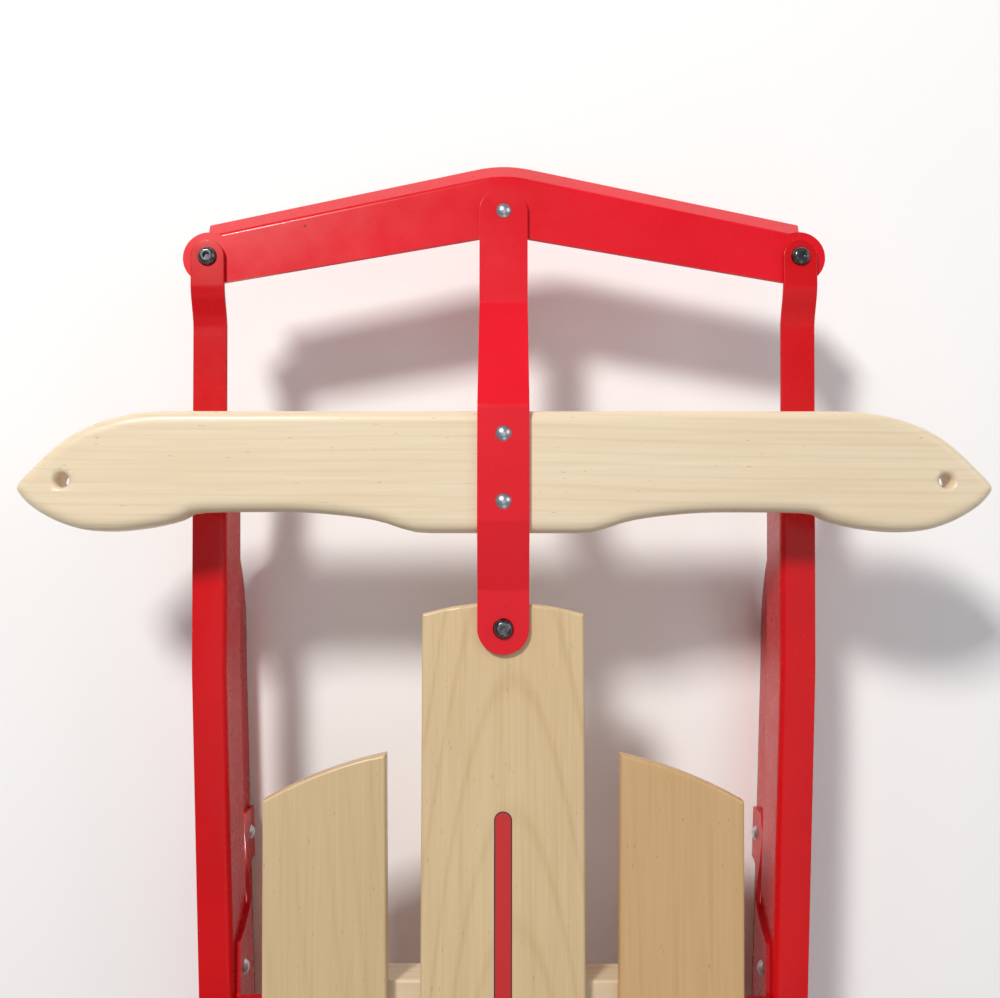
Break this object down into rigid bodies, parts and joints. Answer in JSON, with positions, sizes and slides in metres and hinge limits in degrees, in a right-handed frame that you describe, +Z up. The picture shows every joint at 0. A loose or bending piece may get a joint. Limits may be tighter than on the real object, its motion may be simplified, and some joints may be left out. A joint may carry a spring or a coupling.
{
  "type": "steering sled",
  "caption": "Long low snow sled with a slatted wooden deck, sprung steel runners, a red front bumper and a wooden steering bar that bends the runners.",
  "frame": {"origin": "on the ground, below the middle of the sled's bounding box", "axes": "+Y forward to the bumper, +X to the rider's right, +Z up"},
  "size_m": [0.564, 1.2194, 0.1435],
  "materials": {
    "birch_slat": "clear satin varnish",
    "birch_bar": "clear satin varnish",
    "birch_bench": "clear satin varnish",
    "red_enamel": "gloss enamel",
    "red_runner": "gloss enamel, steel shows on the sole",
    "zinc_rivet": "bright zinc",
    "black_screw": "black oxide",
    "zinc_nut": "bright zinc"
  },
  "bodies": {
    "frame": {"center_slat": "birch_slat", "side_slat_left": "birch_slat", "side_slat_right": "birch_slat", "side_rail_left": "red_enamel", "side_rail_right": "red_enamel", "rail_web_left": "red_enamel", "rail_web_right": "red_enamel", "runner_left": "red_runner", "runner_right": "red_runner", "front_bench": "birch_bench", "middle_bench": "birch_bench", "rear_bench": "birch_bench", "front_knee_left": "red_runner", "front_knee_right": "red_runner", "middle_knee_left": "red_runner", "middle_knee_right": "red_runner", "rear_knee_left": "red_runner", "rear_knee_right": "red_runner", "front_deck_rivets": "zinc_rivet", "middle_deck_rivets": "zinc_rivet", "rear_deck_rivets": "zinc_rivet", "front_knee_rivets": "zinc_rivet", "middle_knee_rivets": "zinc_rivet", "rear_knee_rivets": "zinc_rivet", "pivot_screw": "black_screw", "pivot_washer": "zinc_nut", "pivot_nut": "zinc_nut"},
    "steering": {"steering_bar": "birch_bar", "steering_strap": "red_enamel", "bar_rivets": "zinc_rivet"},
    "bumper": {"bumper": "red_enamel", "bumper_rivet": "zinc_rivet"},
    "tip_left": {"rail_tip_left": "red_enamel", "runner_nose_left": "red_runner", "bumper_screw_left": "black_screw", "bumper_washer_left": "zinc_nut", "bumper_nut_left": "zinc_nut"},
    "tip_right": {"rail_tip_right": "red_enamel", "runner_nose_right": "red_runner", "bumper_screw_right": "black_screw", "bumper_washer_right": "zinc_nut", "bumper_nut_right": "zinc_nut"}
  },
  "joints": [
    {"name": "steer", "type": "hinge", "parent": "frame", "child": "steering", "pos_m": [0, 0.31958, 0.131], "axis": [0, 0, 1], "range_deg": [-10, 10], "stiffness_Nm_per_rad": 20},
    {"name": "bumper_pivot", "type": "hinge", "parent": "steering", "child": "bumper", "pos_m": [0, 0.57628, 0.095], "axis": [0, 0, 1], "range_deg": [-10, 10]},
    {"name": "tip_left_flex", "type": "hinge", "parent": "frame", "child": "tip_left", "pos_m": [-0.1808, 0.29068, 0.06], "axis": [0, 0, 1], "range_deg": [-10, 10]},
    {"name": "tip_right_flex", "type": "hinge", "parent": "frame", "child": "tip_right", "pos_m": [0.1808, 0.29068, 0.06], "axis": [0, 0, 1], "range_deg": [-10, 10]}
  ],
  "couplings": [
    {"joint": "bumper_pivot", "follows": "steer", "ratio": -1},
    {"joint": "tip_left_flex", "follows": "steer", "ratio": 1},
    {"joint": "tip_right_flex", "follows": "steer", "ratio": 1}
  ]
}
